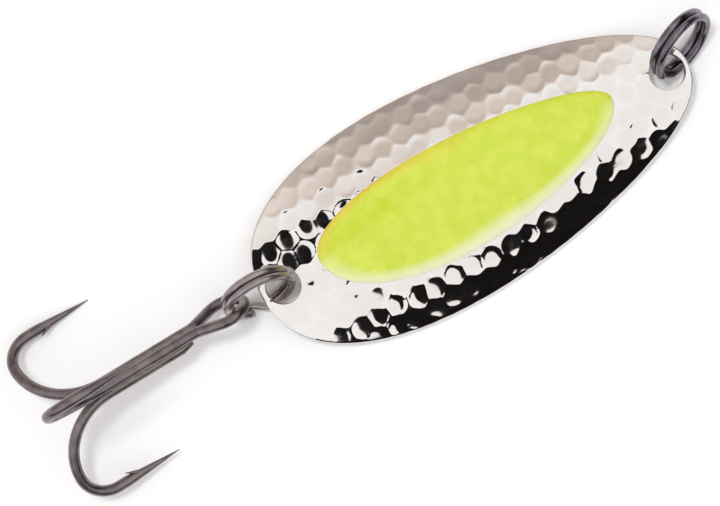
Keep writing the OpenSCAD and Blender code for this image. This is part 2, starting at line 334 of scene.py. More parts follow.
def new_object(name: str, points: Points, edges: list[Corners], faces: list[Corners]) -> bpy.types.Object:
    """A mesh object from points in mm.

    Args:
        name: The object's name.
        points: One row of x, y and z for each point, in mm.
        edges: Pairs of point numbers.
        faces: Point numbers round each face.

    Returns:
        The object, linked to the scene.
    """
    mesh = bpy.data.meshes.new(name)
    mesh.from_pydata((points * MM).tolist(), edges, faces)
    mesh.update()
    obj = bpy.data.objects.new(name, mesh)
    bpy.context.scene.collection.objects.link(obj)
    return obj


def set_attribute(obj: bpy.types.Object, name: str, values: Points) -> None:
    """Stores a number or a direction for each point of an object's mesh.

    Args:
        obj: The object.
        name: The attribute's name.
        values: One number, or one row of three, for each point.
    """
    kind, field = ("FLOAT", "value") if values.ndim == 1 else ("FLOAT_VECTOR", "vector")
    attribute = obj.data.attributes.new(name, kind, "POINT")
    attribute.data.foreach_set(field, values.astype(np.float32).ravel())


def skin(loops: list[Points], first: Points, last: Points) -> tuple[Points, list[Corners]]:
    """A closed skin over a stack of loops, from a first pole on top to a last pole below.

    Args:
        loops: Loops of the same number of points, each counter-clockwise seen from above.
        first: The pole inside the first loop.
        last: The pole inside the last loop.

    Returns:
        All points and the faces over them.
    """
    count = len(loops[0])
    points = np.concatenate([*loops, first[None], last[None]])
    top, bottom = len(points) - 2, len(points) - 1
    faces = [(top, i, (i + 1) % count) for i in range(count)]
    for k in range(len(loops) - 1):
        a, b = k * count, (k + 1) * count
        faces += [(a + i, b + i, b + (i + 1) % count, a + (i + 1) % count) for i in range(count)]
    end = (len(loops) - 1) * count
    faces += [(end + (i + 1) % count, end + i, bottom) for i in range(count)]
    return points, faces


def round_corner(start: Points, corner: Points, end: Points, radius: float, steps: int) -> list[Points]:
    """Loops that round off the corner between two loops.

    Args:
        start: Loop before the corner.
        corner: Loop at the corner.
        end: Loop after the corner.
        radius: Distance from the corner at which the rounding starts and ends.
        steps: Number of loops.

    Returns:
        The loops, in order.
    """
    def towards(loop: Points) -> Points:
        """A loop of points at the rounding's radius from the corner, on the way to another loop.

        Args:
            loop: The other loop.

        Returns:
            One row a point.
        """
        step = loop - corner
        length = np.linalg.norm(step, axis=1, keepdims=True)
        return corner + step * np.minimum(1, radius / np.maximum(length, 1e-6))

    a, b = towards(start), towards(end)
    return [(1 - s) ** 2 * a + 2 * s * (1 - s) * corner + s * s * b for s in np.linspace(0, 1, steps)]


def egg_side(c: Points, fullness: float, roundness: float) -> Points:
    """Half width of an egg outline whose widest place is 1.

    Args:
        c: Place along the egg, from -1 at its full end to 1.
        fullness: Share by which one half is fuller.
        roundness: 1 for an ellipse, less for blunter ends.

    Returns:
        The half width at each place.
    """
    def side(at: Points) -> Points:
        """The half width before it is scaled to 1."""
        return np.maximum(0, 1 - at * at) ** (roundness / 2) * (1 - fullness * at)

    return side(c) / side(np.linspace(-0.6, 0.2, 400)).max()


@dataclass
class Hammer:
    """Hammer marks on a wandering honeycomb, each a shallow bowl that leans its own way. Sizes in mm.

    Attributes:
        pitch: Distance between marks.
        wander: How far a mark strays from the honeycomb.
        radius: Radius of a bowl.
        flatness: 2 for a round bowl, more for a flatter bottom.
        softness: 1 for a sharp edge, more for a softer one.
        lean: Steepest slope of a bowl's bottom.
        columns: Number of marks along the blade, on either side of its middle.
        rows: Number of marks across the blade, on either side of its middle.
    """

    pitch: float = 2.9
    wander: float = 0.35
    radius: float = 1.62
    flatness: float = 3.2
    softness: float = 1.2
    lean: float = 0.07
    columns: int = 14
    rows: int = 8

    def marks(self) -> bpy.types.Object:
        """The middles of the marks as loose points, each with its lean.

        Returns:
            The points as an object.
        """
        columns, rows = np.arange(-self.columns, self.columns + 1), np.arange(-self.rows, self.rows + 1)
        i, j = [grid.ravel() for grid in np.meshgrid(columns, rows)]
        # Uneven angles a step, so that no two neighbours stray or lean alike.
        stray_x, stray_y = np.radians(137.5 * i + 71.3 * j), np.radians(97.1 * i + 211.7 * j)
        way, tip = np.radians(151.3 * i + 83.9 * j), np.radians(59.7 * i + 173.1 * j)
        x = (i + 0.5 * (j % 2)) * self.pitch + self.wander * np.sin(stray_x)
        y = j * self.pitch * math.sin(math.pi / 3) + self.wander * np.cos(stray_y)
        obj = new_object("marks", np.stack([x + BLADE_AHEAD, y, 0 * x], 1), [], [])
        steep = self.lean * (0.55 + 0.45 * np.sin(tip))
        set_attribute(obj, "lean", np.stack([steep * np.cos(way), steep * np.sin(way), 0 * x], 1))
        return obj

    def tree(self) -> bpy.types.NodeTree:
        """Tree that presses the nearest mark's bowl into a surface.

        Returns:
            The geometry tree.
        """
        tree, given = new_tree("hammer_marks", {
            "Marks": "NodeSocketObject", "Depth": "NodeSocketFloat", "Radius": "NodeSocketFloat",
            "Flatness": "NodeSocketFloat", "Softness": "NodeSocketFloat",
            "Lean Share": "NodeSocketFloat", "Finish": "NodeSocketMaterial",
        })
        size = given.outputs
        number, vector, named = "ShaderNodeMath", "ShaderNodeVectorMath", "GeometryNodeInputNamedAttribute"

        # The nearest mark, seen from above: its middle and its lean.
        source = add_node(tree, "GeometryNodeObjectInfo", inputs={"Object": size["Marks"]})
        marks = source.outputs["Geometry"]
        place = add_node(tree, "GeometryNodeInputPosition").outputs[0]
        lean = add_node(tree, named, {"data_type": "FLOAT_VECTOR"}, {"Name": "lean"}).outputs[0]
        flat = add_node(tree, vector, {"operation": "MULTIPLY"}, {0: place, 1: (1.0, 1.0, 0.0)}).outputs[0]
        nearest = add_node(
            tree, "GeometryNodeSampleNearest", inputs={"Geometry": marks, "Sample Position": flat},
        ).outputs[0]
        middle, slope = [
            add_node(
                tree, "GeometryNodeSampleIndex", {"data_type": "FLOAT_VECTOR", "domain": "POINT"},
                {"Geometry": marks, "Value": value, "Index": nearest},
            ).outputs[0]
            for value in (place, lean)
        ]

        # The bowl: 1 over most of the mark, falling to 0 at its edge.
        off = add_node(tree, vector, {"operation": "SUBTRACT"}, {0: flat, 1: middle}).outputs[0]
        away = add_node(tree, vector, {"operation": "LENGTH"}, {0: off}).outputs["Value"]
        ratio = add_node(tree, number, {"operation": "DIVIDE"}, {0: away, 1: size["Radius"]}).outputs[0]
        reach = add_node(tree, number, {"operation": "MINIMUM"}, {0: ratio, 1: 1.0}).outputs[0]
        steep = add_node(tree, number, {"operation": "POWER"}, {0: reach, 1: size["Flatness"]}).outputs[0]
        hollow = add_node(tree, number, {"operation": "SUBTRACT"}, {0: 1.0, 1: steep}).outputs[0]
        bowl = add_node(tree, number, {"operation": "POWER"}, {0: hollow, 1: size["Softness"]}).outputs[0]
        share = add_node(tree, named, {"data_type": "FLOAT"}, {"Name": "hammered"}).outputs[0]
        pressed = add_node(tree, number, {"operation": "MULTIPLY"}, {0: bowl, 1: share}).outputs[0]

        # How far each point goes down: the depth, less the height of the leaning bottom.
        rise = add_node(tree, vector, {"operation": "DOT_PRODUCT"}, {0: off, 1: slope}).outputs["Value"]
        tilt = add_node(tree, number, {"operation": "MULTIPLY"}, {0: rise, 1: size["Lean Share"]}).outputs[0]
        lift = add_node(tree, number, {"operation": "SUBTRACT"}, {0: tilt, 1: size["Depth"]}).outputs[0]
        drop = add_node(tree, number, {"operation": "MULTIPLY"}, {0: pressed, 1: lift}).outputs[0]
        # Each point's share of its mark's depth, kept for the plate's painted shade in the hollows.
        noted = add_node(
            tree, "GeometryNodeStoreNamedAttribute", {"data_type": "FLOAT", "domain": "POINT"},
            {"Geometry": size["Geometry"], "Name": "mark_depth", "Value": pressed},
        ).outputs[0]
        offset = add_node(tree, "ShaderNodeCombineXYZ", inputs={"Z": drop}).outputs[0]
        moved = add_node(
            tree, "GeometryNodeSetPosition", inputs={"Geometry": noted, "Offset": offset},
        ).outputs[0]
        end_tree(tree, moved, size["Finish"])
        return tree

    def strike(
        self, obj: bpy.types.Object, depth: float, lean: float, finish: bpy.types.Material,
    ) -> None:
        """Hammers an object where its hammered attribute says so.

        Args:
            obj: The object.
            depth: Depth of the marks.
            lean: Share of the marks' lean that the object takes.
            finish: Material of the object.
        """
        marks = self.marks()
        run_tree(obj, self.tree(), {
            "Marks": marks, "Depth": depth * MM, "Radius": self.radius * MM, "Flatness": self.flatness,
            "Softness": self.softness, "Lean Share": lean, "Finish": finish,
        })
        bpy.data.objects.remove(marks)


@dataclass
class Blade:
    """Hammered, crowned sheet with a recess for the insert and a hole at each end. Sizes in mm.

    Places along the blade run from -1 at the tail to 1 at the nose, apart from the holes' places, in mm.

    Attributes:
        length: Length of the blade.
        width: Width of the blade.
        thickness: Thickness of the sheet.
        crown: Height of the crown in the middle.
        end_rise: How far the ends rise off the table.
        fullness: Share by which the tail half is fuller.
        roundness: 1 for an elliptical outline, less for blunter ends.
        flank_power: 2 for a parabola across the blade, more for a flatter top.
        mark_depth: Depth of the hammer marks.
        recess_depth: Depth of the recess.
        recess_lip: Rounding of the recess's edge.
        rim_round: Rounding of the rim.
        rim_rows: Number of outermost rows over which the marks get shallower.
        rim_share: Share of the marks' depth that is left at the rim.
        tail_share: Share of the marks' depth that is left at the tail.
        tail_span: Places between which that share grows to 1.
        hole_flare: How much a hole's radius grows up to each face.
        hole_ease: Depth below each face at which a hole starts to widen.
        hole_sectors: Number of points round a hole.
        punch_reach: How far a punch reaches from the middle of the sheet.
        tail_hole: Place along the blade, and diameter.
        nose_hole: Place along the blade, and diameter.
        sectors: Number of points round the blade.
        rows: Number of rows from the recess to the rim.
    """

    length: float = 66.0
    width: float = 30.0
    thickness: float = 1.6
    crown: float = 5.5
    end_rise: float = 2.2
    fullness: float = 0.2
    roundness: float = 0.86
    flank_power: float = 2.2
    mark_depth: float = 0.16
    recess_depth: float = 0.7
    recess_lip: float = 0.06
    rim_round: float = 0.4
    rim_rows: int = 10
    rim_share: float = 0.6
    tail_share: float = 0.6
    tail_span: tuple[float, float] = (-0.75, -0.4)
    hole_flare: float = 0.12
    hole_ease: float = 0.6
    hole_sectors: int = 72
    punch_reach: float = 4.0
    tail_hole: tuple[float, float] = (-29.6, 4.8)
    nose_hole: tuple[float, float] = (29.75, 4.9)
    sectors: int = 720
    rows: int = 48

    def half_width(self, c: Points, width: float) -> Points:
        """Half width of the blade at c, from -1 at the tail to 1 at the nose."""
        return width / 2 * egg_side(c, self.fullness, self.roundness)

    def outline(self, length: float, width: float) -> Points:
        """Loop of x and y round the blade.

        Args:
            length: Length of the loop.
            width: Width of the loop.

        Returns:
            One row a sector.
        """
        t = np.linspace(0, 2 * np.pi, self.sectors, endpoint=False)
        side = np.sign(np.sin(t)) * self.half_width(np.cos(t), width)
        return np.stack([length / 2 * np.cos(t), side], 1)

    def shell_z(self, p: Points, length: float, width: float, crown: float) -> Points:
        """Height of a crowned sheet over the table at points p.

        Args:
            p: Rows of x and y.
            length: Length of the sheet.
            width: Width of the sheet.
            crown: Height of its crown.

        Returns:
            One height a point.
        """
        c = np.clip(2 * p[:, 0] / length, -1, 1)
        b = self.half_width(c, width)
        across = np.where(b < 1e-3, 1, np.minimum(1, np.abs(p[:, 1]) / np.maximum(b, 1e-3)))
        return self.end_rise * c**4 + crown * (1 - c * c) * (1 - across**self.flank_power)

    def rim_angle(self, c: Points) -> Points:
        """Slope of the flank at the rim."""
        b = np.maximum(self.half_width(c, self.width), 1e-3)
        return np.arctan(self.flank_power * self.crown * (1 - c * c) / b)

    def face_z(self, p: Points) -> Points:
        """Height of the upper face at points p, without its hammer marks.

        Args:
            p: Rows of x and y.

        Returns:
            One height a point.
        """
        c = np.clip(2 * p[:, 0] / self.length, -1, 1)
        shell = self.shell_z(p, self.length, self.width, self.crown)
        return self.thickness * np.cos(self.rim_angle(c)) + shell

    def on_face(self, p: Points, above: float | Points = 0.0) -> Points:
        """Points p lifted to the upper face, or to a height above it."""
        return np.column_stack([p, self.face_z(p) + above])

    def sheet(self, recess: Points, recess_mid: Points) -> bpy.types.Object:
        """The sheet before it is hammered and punched.

        Args:
            recess: Loop of x and y round the recess.
            recess_mid: Middle of the recess.

        Returns:
            The sheet as an object, with the share of the hammer's depth at each point.
        """
        rim = self.outline(self.length, self.width)
        turn = float(self.rim_angle(np.zeros(1))[0])
        under_length = self.length - self.thickness / 2
        under_width = self.width - 2 * self.thickness * math.sin(turn)
        under_crown = self.crown - self.thickness * (1 - math.cos(turn))
        under_rim = self.outline(under_length, under_width)

        def under(share: float) -> Points:
            """Loop on the lower face, at a share of the way out to its rim."""
            p = share * under_rim
            return np.column_stack([p, self.shell_z(p, under_length, under_width, under_crown)])

        def face(share: float) -> Points:
            """Loop on the upper face, at a share of the way from the recess to the rim."""
            return self.on_face(recess + (rim - recess) * share)

        def floor(share: float) -> Points:
            """Loop on the recess floor, at a share of the way out to its wall."""
            return self.on_face(recess_mid + (recess - recess_mid) * share, -self.recess_depth)

        face_loops = [face(s) for s in np.linspace(0, 1, self.rows + 1)]
        edge = face_loops[-1]
        lip = round_corner(floor(1.0), face_loops[0], face_loops[4], self.recess_lip, 4)
        upper_rim = round_corner(face_loops[-3], edge, under(1.0), self.rim_round, 6)
        lower_rim = round_corner(edge, under(1.0), under(0.9), self.rim_round, 5)
        under_loops = [under(s) for s in np.linspace(0.97, 0.06, 24)]
        hollow = [floor(0.4), floor(0.8), floor(1.0)]
        plain = face_loops[2:-2]
        loops = [*hollow, *lip, *plain, *upper_rim, *lower_rim, *under_loops]
        pole = self.on_face(recess_mid[None], -self.recess_depth)[0]
        bottom = np.array([0, 0, under_crown])
        points, faces = skin(loops, pole, bottom)
        points[:, 0] += BLADE_AHEAD
        obj = new_object("hammered_blade", points, [], faces)

        struck = np.ones(len(lip) + len(plain))
        struck[-self.rim_rows :] = np.linspace(1, self.rim_share, self.rim_rows)
        fading = np.linspace(self.rim_share, 0, len(upper_rim))
        unstruck = np.zeros(len(lower_rim) + len(under_loops))
        by_loop = np.concatenate([np.zeros(len(hollow)), struck, fading, unstruck])
        along = 2 * np.array([loop[:, 0] for loop in loops]) / self.length
        share = by_loop[:, None] * np.interp(along, self.tail_span, (self.tail_share, 1.0))
        set_attribute(obj, "hammered", np.append(share.ravel(), [0, 0]))
        return obj

    def punch(self, hole: tuple[float, float]) -> bpy.types.Object:
        """Cutter for a hole whose edges are eased on both faces.

        Args:
            hole: Place along the blade, and diameter.

        Returns:
            The cutter as an object.
        """
        x, d = hole
        near = self.on_face(np.array([[x - 0.5, 0], [x, 0], [x + 0.5, 0]]))[:, 2]
        tilt = -math.atan(near[2] - near[0])
        half, reach = self.thickness / 2, self.punch_reach
        ease, wide = self.hole_ease, 2 * self.hole_flare
        lower = [(-reach, wide), (-half - ease, wide), (-half + ease, 0)]
        upper = [(half - ease, 0), (half + ease, wide), (reach, wide)]
        t = np.linspace(0, 2 * np.pi, self.hole_sectors, endpoint=False)
        loops = [
            np.stack([(d / 2 + g) * np.cos(t), (d / 2 + g) * np.sin(t), np.full_like(t, z)], 1)
            for z, g in reversed(lower + upper)
        ]
        points, faces = skin(loops, np.array([0, 0, reach]), np.array([0, 0, -reach]))
        turn = np.array(Matrix.Rotation(tilt, 3, "Y"))
        points = points @ turn.T + np.array([x + BLADE_AHEAD, 0, near[1] - half])
        return new_object("punch", points, [], faces)

    def build(
        self, recess: Points, recess_mid: Points, hammer: Hammer, finish: bpy.types.Material,
    ) -> bpy.types.Object:
        """The hammered and punched blade.

        Args:
            recess: Loop of x and y round the recess.
            recess_mid: Middle of the recess.
            hammer: What marks the blade.
            finish: Material of the whole blade.

        Returns:
            The blade as an object.
        """
        obj = self.sheet(recess, recess_mid)
        hammer.strike(obj, self.mark_depth, 1.0, finish)
        tools = [self.punch(self.tail_hole), self.punch(self.nose_hole)]
        for tool in tools:
            cut = obj.modifiers.new(tool.name, "BOOLEAN")
            cut.operation, cut.solver, cut.object = "DIFFERENCE", "MANIFOLD", tool
        keep_result(obj)
        for tool in tools:
            bpy.data.objects.remove(tool)
        obj.data.set_sharp_from_angle(angle=math.radians(SHARP_ANGLE))
        return obj


@dataclass
class Insert:
    """Moulded insert that sits in the blade's recess. Sizes in mm.

    Attributes:
        length: Length of the insert.
        left: Distance from its middle line to its left edge.
        right: Distance from its middle line to its right edge.
        fullness: Share by which the tail half is fuller.
        back: Distance of its middle behind the blade's middle.
        aside: Distance of its middle to the left of the blade's middle.
        proud: Height over the blade's face.
        clearance: How much larger the recess is cut; the insert's edge is drawn out to fill it.
        edge_width: Width of the rounded edge.
        edge_power: 1 for an edge that slopes evenly, more for a rounder one.
        mark_depth: Depth of the faint hammer marks.
        lean_share: Share of the marks' lean that the insert takes.
        amber_shade_width: Width of the painted amber shade along the left edge.
        amber_shade_most: Largest share of the painted amber shade.
        amber_shade_span: Places along the insert, as shares of its length from its middle.
        amber_shade_shares: Shares of the painted amber shade at those places.
        highlight_width: Width of the painted whitish highlight along the right edge.
        highlight_most: Largest share of the painted highlight.
        crown_rows: Number of rows from the middle to the rounded edge.
        edge_rows: Number of rows over the rounded edge.
        sectors: Number of points round the insert.
    """

    length: float = 45.0
    left: float = 6.0
    right: float = 9.0
    fullness: float = 0.16
    back: float = 1.1
    aside: float = 0.7
    proud: float = 0.3
    clearance: float = 0.05
    edge_width: float = 3.0
    edge_power: float = 4.5
    mark_depth: float = 0.05
    lean_share: float = 0.2
    amber_shade_width: float = 2.4
    amber_shade_most: float = 0.9
    amber_shade_span: tuple[float, float] = (-0.5, 0.1)
    amber_shade_shares: tuple[float, float] = (1.05, 0.21)
    highlight_width: float = 2.6
    highlight_most: float = 0.8
    crown_rows: int = 30
    edge_rows: int = 16
    sectors: int = 360

    def mid(self) -> Points:
        """Middle of the insert on the blade."""
        return np.array([-self.back, self.aside])

    def outline(self, sectors: int, grow: float) -> Points:
        """Loop of x and y round the insert, or round its recess.

        Args:
            sectors: Number of points.
            grow: Distance to stay outside the insert.

        Returns:
            One row a sector.
        """
        t = np.linspace(0, 2 * np.pi, sectors, endpoint=False)
        reach = np.where(np.sin(t) > 0, self.left + grow, -self.right - grow)
        side = reach * egg_side(np.cos(t), self.fullness, 1.0)
        return self.mid() + np.stack([(self.length / 2 + grow) * np.cos(t), side], 1)

    def build(self, blade: Blade, hammer: Hammer, finish: bpy.types.Material) -> bpy.types.Object:
        """The insert, with its painted edge shade and edge highlight stored at each point.

        Args:
            blade: The blade that it sits in.
            hammer: What marked the blade; the insert shows it faintly.
            finish: Material of the insert.

        Returns:
            The insert as an object.
        """
        edge = self.outline(self.sectors, self.clearance)
        mid = self.mid()
        reach = np.linalg.norm(edge - mid, axis=1, keepdims=True)

        def inset(d: float) -> Points:
            """Loop of x and y at a distance inside the edge."""
            return mid + (edge - mid) * (1 - d / reach)

        def height(d: float) -> float:
            """Height over the blade's face at a distance inside the edge."""
            return self.proud * (1 - (1 - min(1, d / self.edge_width)) ** self.edge_power)

        inner = inset(self.edge_width)
        shares = np.linspace(0.04, 0.97, self.crown_rows)
        crown = [blade.on_face(mid + (inner - mid) * s, self.proud) for s in shares]
        steps = [self.edge_width * s**2 for s in np.linspace(1, 0, self.edge_rows)]
        rim = [blade.on_face(inset(d), height(d)) for d in steps]
        floor = blade.on_face(edge, -blade.recess_depth)
        seat = [blade.on_face(mid + (edge - mid) * s, -blade.recess_depth) for s in (0.7, 0.35)]
        loops = [*crown, *rim, floor, *seat]
        top = blade.on_face(mid[None], self.proud)[0]
        points, faces = skin(loops, top, blade.on_face(mid[None], -blade.recess_depth)[0])
        points[:, 0] += BLADE_AHEAD
        obj = new_object("chartreuse_insert", points, [], faces)
        # The painted edge shade and highlight fade inwards; the amber shade is strongest towards the tail,
        # on the left.
        depth = np.array([self.edge_width] * len(crown) + steps + [0.0] * (1 + len(seat)))
        x, y = (edge - mid).T
        lean = y / np.where(y > 0, self.left, self.right)
        tail = np.interp(x / self.length, self.amber_shade_span, self.amber_shade_shares)
        near, wide = [
            np.clip(1 - depth / width, 0, 1)[:, None] for width in (self.amber_shade_width, self.highlight_width)
        ]
        # Painted amber shade on the left edge, painted highlight on the right.
        edge_shade = np.clip(near * np.clip(lean, 0, 1) ** 0.5 * tail, 0, self.amber_shade_most)
        edge_highlight = np.clip(wide * np.clip(-lean, 0, 1) ** 0.5, 0, self.highlight_most)
        set_attribute(obj, "amber_edge_shade", np.append(edge_shade.ravel(), [0, 0]))
        set_attribute(obj, "painted_edge_highlight", np.append(edge_highlight.ravel(), [0, 0]))
        struck = np.repeat(depth / self.edge_width, self.sectors)
        set_attribute(obj, "hammered", np.append(struck, [1, 0]))
        hammer.strike(obj, self.mark_depth, self.lean_share, finish)
        return obj


def wire_tree() -> bpy.types.NodeTree:
    """Tree that draws round wire along lines, thinned by their taper.

    Returns:
        The geometry tree.
    """
    tree, given = new_tree("wire", {
        "Wire Radius": "NodeSocketFloat", "Sides": "NodeSocketInt", "Finish": "NodeSocketMaterial",
    })
    curve = add_node(tree, "GeometryNodeMeshToCurve", inputs={"Mesh": given.outputs["Geometry"]})
    section = add_node(
        tree, "GeometryNodeCurvePrimitiveCircle",
        inputs={"Resolution": given.outputs["Sides"], "Radius": given.outputs["Wire Radius"]},
    )
    taper = add_node(tree, "GeometryNodeInputNamedAttribute", {"data_type": "FLOAT"}, {"Name": "taper"})
    wire = add_node(
        tree, "GeometryNodeCurveToMesh",
        inputs={
            "Curve": curve.outputs[0], "Profile Curve": section.outputs[0],
            "Scale": taper.outputs[0], "Fill Caps": True,
        },
    )
    end_tree(tree, wire.outputs[0], given.outputs["Finish"])
    return tree


@dataclass(frozen=True)
class Line:
    """A line that a wire follows.

    Attributes:
        points: Rows of x, y and z, in mm.
        taper: The wire's share of its full width at each point.
    """

    points: Points
    taper: Points


def draw_wire(
    name: str, lines: list[Line], diameter: float, tree: bpy.types.NodeTree, finish: bpy.types.Material,
) -> bpy.types.Object:
    """Wire along lines, as one object.

    Args:
        name: The object's name.
        lines: The lines to follow.
        diameter: Full diameter of the wire, in mm.
        tree: The tree that draws wire.
        finish: Material of the wire.

    Returns:
        The wire as an object.
    """
    points = np.concatenate([line.points for line in lines])
    edges, start = [], 0
    for line in lines:
        edges += [(start + i, start + i + 1) for i in range(len(line.points) - 1)]
        start += len(line.points)
    obj = new_object(name, points, edges, [])
    set_attribute(obj, "taper", np.concatenate([line.taper for line in lines]))
    run_tree(obj, tree, {"Wire Radius": diameter / 2 * MM, "Sides": WIRE_SIDES, "Finish": finish})
    obj.data.set_sharp_from_angle(angle=math.radians(SHARP_ANGLE))
    return obj


@dataclass
class SplitRing:
    """Two turns of spring wire. Sizes in mm, angles in degrees.

    Attributes:
        name: Name of the ring's object.
        mid: Middle of the ring.
        yaw: Turn of the ring about the vertical.
        lean: 0 for a ring that lies flat, 90 for one that stands upright.
        jog_start: Angle round the ring at which the wire starts to step to its second turn.
        outside: Outer diameter.
        wire: Diameter of the wire.
        turn_gap: Gap between the two turns.
        jog_arc: Angle over which the wire steps.
        end_share: Share of the wire's width that is left at a cut end.
        end_arc: Angle over which a cut end is eased.
        steps: Number of points along the wire.
    """

    name: str
    mid: tuple[float, float, float]
    yaw: float
    lean: float
    jog_start: float
    outside: float = 10.6
    wire: float = 1.1
    turn_gap: float = 0.04
    jog_arc: float = 32.0
    end_share: float = 0.8
    end_arc: float = 6.0
    steps: int = 260

    def line(self) -> Line:
        """The line of the wire, from one cut end to the other.

        Returns:
            The line.
        """
        yaw, lean = math.radians(self.yaw), math.radians(self.lean)
        along = np.array([math.cos(yaw), math.sin(yaw), 0])
        up = np.array([-math.sin(yaw) * math.cos(lean), math.cos(yaw) * math.cos(lean), math.sin(lean)])
        axis = np.cross(along, up)
        a = np.linspace(0, 720 - self.jog_arc, self.steps)
        s = np.clip((a - (360 - self.jog_arc)) / self.jog_arc, 0, 1)
        climb = ((3 - 2 * s) * s * s - 0.5) * (self.wire + self.turn_gap)
        turn = np.radians(self.jog_start + self.jog_arc + a)
        r = (self.outside - self.wire) / 2
        path = np.outer(r * np.cos(turn), along) + np.outer(r * np.sin(turn), up) + np.outer(climb, axis)
        from_end = np.minimum(a, a[::-1])
        taper = np.interp(from_end, (0, self.end_arc), (self.end_share, 1))
        return Line(path + np.array(self.mid), taper)

    def build(self, tree: bpy.types.NodeTree, finish: bpy.types.Material) -> bpy.types.Object:
        """The ring as an object."""
        return draw_wire(self.name, [self.line()], self.wire, tree, finish)


@dataclass
class Treble:
    """Treble hook of a double and a single wire brazed together. Sizes in mm, angles in degrees.

    Places along the shank are measured from the pivot, towards the bends.

    Attributes:
        pivot: Middle of the ring's wire in the eye, on which the treble swings.
        pitch: How far the shank rises towards the bends.
        yaw: Turn of the shank about the vertical.
        rolls: Angle of each hook about the shank; the first two are of the double wire.
        wire: Diameter of the wire.
        film: Gap between neighbouring shanks.
        shank: Place along the shank where the bends start.
        open_r: Radius of the wide bend, next to the shank.
        open_turn: Angle through which the wide bend turns.
        close_r: Radius of the close bend, next to the point.
        point_run: Length of full wire between the bend and the point.
        point: Length of the tapered point.
        tip_r: Radius of the tip.
        barb: Length of a barb along its point.
        barb_lift: How far a barb's end stands off the middle of its point.
        barb_share: Share of the point's width that a barb has at its root.
        eye_r: Radius of the eye's round end.
        eye_end: Place along the shank where the eye ends.
        eye_taper: Angle of the eye's sides to the shank.
        eye_side: Length of the eye's straight sides.
        throat_r: Radius of the bend from the eye into the shank.
        splice: Gap between the last point of the eye and the first of the shank.
        third_start: Place along the shank where the third wire is cut.
        ground_share: Share of the third wire's width that is left at its ground end.
        ground_points: Number of points over which the end is ground.
        braze_r: Radius of the braze between the wires.
        braze_gap: Gap between the braze and a wire.
        braze_inset: How far the braze stays inside the shared length of the shanks.
        braze_ease: Length over which the braze thins at its ends.
        braze_share: Share of the braze's width that is left at its ends.
        braze_wave: Largest unevenness of the braze's width, as a share, to either side of its mean.
        braze_sectors: Number of points round the braze.
        straight_steps: Number of points along a straight run.
        bend_steps: Number of points along a hook's bend.
        eye_steps: Number of points along half of the eye's round end.
        throat_steps: Number of points along the throat.
    """

    pivot: tuple[float, float, float] = (-22.9741, 0.870536, 5.36629)
    pitch: float = 9.99264
    yaw: float = 2.0
    rolls: tuple[float, float, float] = (94.0, 214.0, 334.0)
    wire: float = 1.55
    film: float = 0.1
    shank: float = 19.4
    open_r: float = 8.9
    open_turn: float = 90.0
    close_r: float = 4.0
    point_run: float = 1.5
    point: float = 8.0
    tip_r: float = 0.05
    barb: float = 2.4
    barb_lift: float = 1.25
    barb_share: float = 0.8
    eye_r: float = 3.0
    eye_end: float = -2.425
    eye_taper: float = 29.0
    eye_side: float = 3.0639
    throat_r: float = 2.5
    splice: float = 0.2
    third_start: float = 6.2
    ground_share: float = 0.4
    ground_points: int = 3
    braze_r: float = 1.3
    braze_gap: float = 0.01
    braze_inset: float = 0.5
    braze_ease: float = 0.5
    braze_share: float = 0.86
    braze_wave: float = 0.03
    braze_sectors: int = 90
    straight_steps: int = 24
    bend_steps: int = 28
    eye_steps: int = 30
    throat_steps: int = 12

    def bundle_r(self) -> float:
        """Distance of each wire from the shank's middle."""
        return (self.wire + self.film) / 2 / math.cos(math.pi / 6)

    def on_plane(self, p: Points, roll: float) -> Points:
        """Points given along and out from the shank, turned to an angle about it."""
        t = math.radians(roll)
        return np.stack([p[:, 0], p[:, 1] * math.cos(t), p[:, 1] * math.sin(t)], 1)

    def pair_roll(self) -> float:
        """Angle about the shank that is halfway between the hooks of the double wire."""
        return (self.rolls[0] + self.rolls[1]) / 2

    def pair_mid(self) -> Points:
        """Middle between the two shanks of the double wire."""
        return self.on_plane(np.array([[0, self.bundle_r() / 2]]), self.pair_roll())

    def place(self, p: Points) -> Points:
        """Points of the treble moved to where it lies.

        Args:
            p: Rows of the place along the shank and the two distances from its middle.

        Returns:
            Rows of x, y and z.
        """
        turn = Matrix.Rotation(math.pi + math.radians(self.yaw), 3, "Z")
        turn = turn @ Matrix.Rotation(-math.radians(self.pitch), 3, "Y")
        return (p - self.pair_mid()) @ np.array(turn).T + np.array(self.pivot)

    def bend_mid(self) -> Points:
        """Middle of the close bend.

        Returns:
            Its place along the shank and its distance from the shank's middle.
        """
        t, step = math.radians(self.open_turn), self.open_r - self.close_r
        out = self.bundle_r() + self.open_r - step * math.cos(t)
        return np.array([self.shank + step * math.sin(t), out])

    def prong(self, roll: float, start: float) -> Line:
        """A hook from a place on its shank to its tip.

        Args:
            roll: Angle of the hook about the shank.
            start: Place along the shank.

        Returns:
            The line of its wire.
        """
        b, split = self.bundle_r(), math.radians(self.open_turn)
        along = np.linspace(start, self.shank, self.straight_steps, endpoint=False)
        shank = np.stack([along, np.full_like(along, b)], 1)
        t = np.linspace(0, split, self.bend_steps, endpoint=False)
        wide = np.stack([self.shank + self.open_r * np.sin(t), b + self.open_r * (1 - np.cos(t))], 1)
        mid = self.bend_mid()
        t = np.linspace(split, np.pi, self.bend_steps)
        close = mid + self.close_r * np.stack([np.sin(t), -np.cos(t)], 1)
        body = np.concatenate([shank, wide, close])
        run = np.linspace(0, 1, self.straight_steps)[1:]
        reach = self.point_run + self.point
        point = close[-1] + np.stack([-reach * run, 0 * run], 1)
        thin = np.clip((reach * run - self.point_run) / self.point, 0, 1)
        taper = np.concatenate([np.ones(len(body)), 1 - thin * (1 - 2 * self.tip_r / self.wire)])
        path = np.concatenate([body, point])
        return Line(self.place(self.on_plane(path, roll)), taper)

